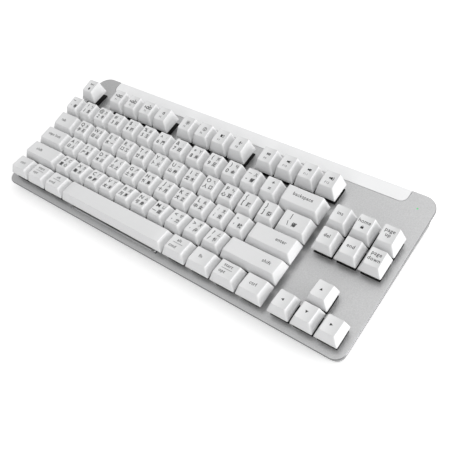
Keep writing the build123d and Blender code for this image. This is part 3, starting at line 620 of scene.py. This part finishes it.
PAINTED_SIDE_SHADE = 0.3  # painted shade: the deck's sides get this share of its colour, so its edge reads as shaded
FINE = (9000.0, 0.18, 0.00004)
MATERIALS = {
    "aluminium_deck": material(
        "aluminium_deck", grey(0.76), 0.4, 0.8,
        ((7000.0, 0.35, 0.00003), (900.0, 0.06, 0.00006)),
        (1100.0, grey(0.66)),
    ),
    "strip_white": material("strip_white", grey(0.88), 0.5, 0.0, (FINE,), (60.0, grey(0.865))),
    # grey, not white: the case's colour is darkened to paint the shade along the deck's front edge
    "case_white": material(
        "case_white", grey(0.38), 0.6, 0.0,
        ((6000.0, 0.3, 0.00005),),
        (80.0, grey(0.36)),
    ),
    "board_green": material(
        "board_green", (0.02, 0.10, 0.045), 0.35, 0.0,
        ((800.0, 0.1, 0.00003),),
        (400.0, (0.015, 0.08, 0.035)),
    ),
    "component_black": material("component_black", grey(0.02), 0.5, 0.0, ((3000.0, 0.2, 0.00004),)),
    "housing_black": material(
        "housing_black", grey(0.012), 0.6, 0.0,
        ((4000.0, 0.2, 0.00004),),
        (300.0, grey(0.008)),
        specular=0.15,
    ),
    "spring_steel": material(
        "spring_steel", (0.6, 0.59, 0.56), 0.3, 1.0,
        ((3000.0, 0.2, 0.00002),),
    ),
    "contact_metal": material(
        "contact_metal", (0.72, 0.55, 0.28), 0.3, 1.0,
        ((2500.0, 0.1, 0.00002),),
    ),
    "wire_steel": material("wire_steel", grey(0.55), 0.3, 1.0, ((3000.0, 0.15, 0.00002),)),
    "cell_wrap": material("cell_wrap", (0.09, 0.11, 0.16), 0.3, 0.0, ((600.0, 0.1, 0.00002),)),
    "rubber_grey": material(
        "rubber_grey", grey(0.10), 0.75, 0.0,
        ((3500.0, 0.35, 0.00006),),
        (200.0, grey(0.085)),
    ),
    "screw_steel": material("screw_steel", grey(0.42), 0.35, 1.0, ((3000.0, 0.2, 0.00002),)),
    "keycap_white": material(
        "keycap_white", grey(0.74), 0.48, 0.0,
        ((6500.0, 0.22, 0.00004), (1400.0, 0.05, 0.00005)),
        (45.0, grey(0.725)),
        specular=0.4,
    ),
    "slider_white": material("slider_white", grey(0.7), 0.5, 0.0, (FINE,)),
    "legend_grey": material("legend_grey", grey(0.012), 0.6, 0.0, (FINE,)),
    "stabiliser_grey": material(
        "stabiliser_grey", grey(0.34), 0.5, 0.0,
        ((4000.0, 0.2, 0.00004),),
        (300.0, grey(0.31)),
    ),
    "stem_brown": material("stem_brown", (0.16, 0.075, 0.04), 0.4, 0.0, (FINE,)),
}
light = material("light_pipe", (0.12, 0.55, 0.22), 0.3, 0.0, (FINE,))
light.node_tree.nodes["Principled BSDF"].inputs["Emission Color"].default_value = (0.05, 0.9, 0.25, 1)
light.node_tree.nodes["Principled BSDF"].inputs["Emission Strength"].default_value = 0.3
MATERIALS["light_pipe"] = light


def paint_side_shade(item, share):
    """Painted shade: multiply the base colour of faces that don't look up by share, so an edge stands out
    dark on a pale floor.
    """
    nodes = item.node_tree.nodes
    links = item.node_tree.links
    shader = nodes["Principled BSDF"]
    color = shader.inputs["Base Color"].links[0].from_socket
    facing = nodes.new("ShaderNodeNewGeometry")
    split = nodes.new("ShaderNodeSeparateXYZ")
    ramp = nodes.new("ShaderNodeValToRGB")
    ramp.color_ramp.elements[0].position = 0.75
    ramp.color_ramp.elements[1].position = 0.95
    ramp.color_ramp.elements[0].color = (share, share, share, 1)
    ramp.color_ramp.elements[1].color = (1, 1, 1, 1)
    mix = nodes.new("ShaderNodeVectorMath")
    mix.operation = "MULTIPLY"
    links.new(facing.outputs["True Normal"], split.inputs["Vector"])
    links.new(split.outputs["Z"], ramp.inputs["Fac"])
    links.new(ramp.outputs["Color"], mix.inputs[0])
    links.new(color, mix.inputs[1])
    links.new(mix.outputs["Vector"], shader.inputs["Base Color"])


# paints shade onto the deck's sides, which are the same metal as its top
paint_side_shade(MATERIALS["aluminium_deck"], PAINTED_SIDE_SHADE)

# ---- the part --------------------------------------------------------------------------------------
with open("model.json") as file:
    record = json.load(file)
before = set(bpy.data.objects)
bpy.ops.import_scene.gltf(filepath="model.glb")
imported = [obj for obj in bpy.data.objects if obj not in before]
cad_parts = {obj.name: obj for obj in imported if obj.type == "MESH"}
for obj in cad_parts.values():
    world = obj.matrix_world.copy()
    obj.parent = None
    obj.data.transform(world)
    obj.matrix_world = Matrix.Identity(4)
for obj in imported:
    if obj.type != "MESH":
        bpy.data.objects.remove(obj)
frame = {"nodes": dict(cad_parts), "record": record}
cad_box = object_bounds()

for part in frame["record"]["subparts"]:
    node = frame["nodes"][part["node"]]
    node.data.materials.clear()
    pale = part["node"] == "stabiliser_housings"  # lighter than its slot, so it doesn't show as dark spots
    node.data.materials.append(MATERIALS["stabiliser_grey" if pale else part["material_slot"]])

shared = {name: node for node, names in SHARED_NODES.items() for name in names.split()}
stems = {}
pieces = {}
for key in read_keys():
    node = shared.get(key.name, f"key_{key.name}")
    shape = CapShape(key)
    made = []
    points, faces = cap_mesh(shape)
    made.append(add_object(f"cap_{key.name}", points, faces, key.matrix, MATERIALS["keycap_white"]))
    legends = legend_mesh(key, shape)
    if legends:
        ink = MATERIALS["legend_grey"]
        made.append(add_object(f"legend_{key.name}", *legends, key.matrix, ink, smooth=False))
    boxes = stem_boxes(0.0)
    if key.wide:
        for side in (-1, 1):
            boxes += insert_boxes(side * key.reach)
    plastic = MATERIALS["stem_brown"]
    made.append(add_object(f"stem_{key.name}", *join(boxes), key.matrix, plastic, smooth=False))
    for item in made:
        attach(item, node)
    pieces.setdefault(node, []).extend(made)
for node, made in pieces.items():
    for item in made:
        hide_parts(node)

# ---- floor, light and camera -----------------------------------------------------------------------
bpy.ops.mesh.primitive_plane_add(size=8.0, location=(0, 0, -0.0002))
floor = bpy.context.object
floor.name = "floor"
floor_material = bpy.data.materials.new("floor_white")
floor_material.use_nodes = True
floor_shader = floor_material.node_tree.nodes["Principled BSDF"]
floor_shader.inputs["Base Color"].default_value = (0.93, 0.93, 0.93, 1)
floor_shader.inputs["Roughness"].default_value = 0.9
floor_shader.inputs["Specular IOR Level"].default_value = 0.0
floor_nodes = floor_material.node_tree.nodes
floor_links = floor_material.node_tree.links
lift = floor_nodes.new("ShaderNodeEmission")  # whitens the background for the camera only
lift.inputs["Color"].default_value = (0.3, 0.3, 0.3, 1)
ray = floor_nodes.new("ShaderNodeLightPath")
both = floor_nodes.new("ShaderNodeAddShader")
floor_links.new(ray.outputs["Is Camera Ray"], lift.inputs["Strength"])
floor_links.new(floor_shader.outputs["BSDF"], both.inputs[0])
floor_links.new(lift.outputs["Emission"], both.inputs[1])
floor_links.new(both.outputs["Shader"], floor_nodes["Material Output"].inputs["Surface"])
floor.data.materials.append(floor_material)
floor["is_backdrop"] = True

world = bpy.data.worlds.new("studio")
bpy.context.scene.world = world
world.use_nodes = True
sky = world.node_tree.nodes["Background"]
sky.inputs["Strength"].default_value = 0.94
toward = world.node_tree.nodes.new("ShaderNodeTexCoord")
split = world.node_tree.nodes.new("ShaderNodeSeparateXYZ")
side = world.node_tree.nodes.new("ShaderNodeMapRange")  # dimmer on the typist's left
side.inputs["From Min"].default_value = -0.75
side.inputs["From Max"].default_value = 0.0
side.inputs["To Min"].default_value = 0.42
side.inputs["To Max"].default_value = 1.0
world.node_tree.links.new(toward.outputs["Generated"], split.inputs["Vector"])
world.node_tree.links.new(split.outputs["X"], side.inputs["Value"])
world.node_tree.links.new(side.outputs["Result"], sky.inputs["Color"])


def area_light(name, place, aim, size, power):
    """Square softbox at a place in metres, pointing at a place."""
    data = bpy.data.lights.new(name, "AREA")
    data.shape = "SQUARE"
    data.size = size
    data.energy = power
    item = bpy.data.objects.new(name, data)
    item.location = place
    item.rotation_euler = (Vector(aim) - Vector(place)).to_track_quat("-Z", "Y").to_euler()
    bpy.context.scene.collection.objects.link(item)
    return item


area_light("side_light", (1.5, 0.2, 0.38), (0, 0, 0), 0.6, 10.0)
area_light("front_light", (0.2, -1.3, 0.9), (0, 0, 0), 1.0, 2.0)
area_light("rear_light", (0.8, 1.2, 1.2), (0, 0, 0), 1.0, 5.0)

camera_data = bpy.data.cameras.new("camera")
camera_data.lens = CAMERA_LENS
camera_data.sensor_width = SENSOR
camera_data.clip_start = 0.01
camera_data.clip_end = 20
camera = bpy.data.objects.new("camera", camera_data)
aim = Vector(CAMERA_AIM).normalized()
right = aim.cross(Vector((0, 0, 1))).normalized()
up = right.cross(aim)
roll = math.radians(CAMERA_ROLL)
turned_right = right * math.cos(roll) + up * math.sin(roll)
turned_up = up * math.cos(roll) - right * math.sin(roll)
camera.matrix_world = Matrix.Translation(Vector(CAMERA_PLACE) * MM) @ Matrix(
    (turned_right, turned_up, -aim)
).transposed().to_4x4()
bpy.context.scene.collection.objects.link(camera)
bpy.context.scene.camera = camera
bpy.context.scene.view_settings.view_transform = "Standard"

visual_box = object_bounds()
boxes = {"cad": cad_box, "visual": visual_box}
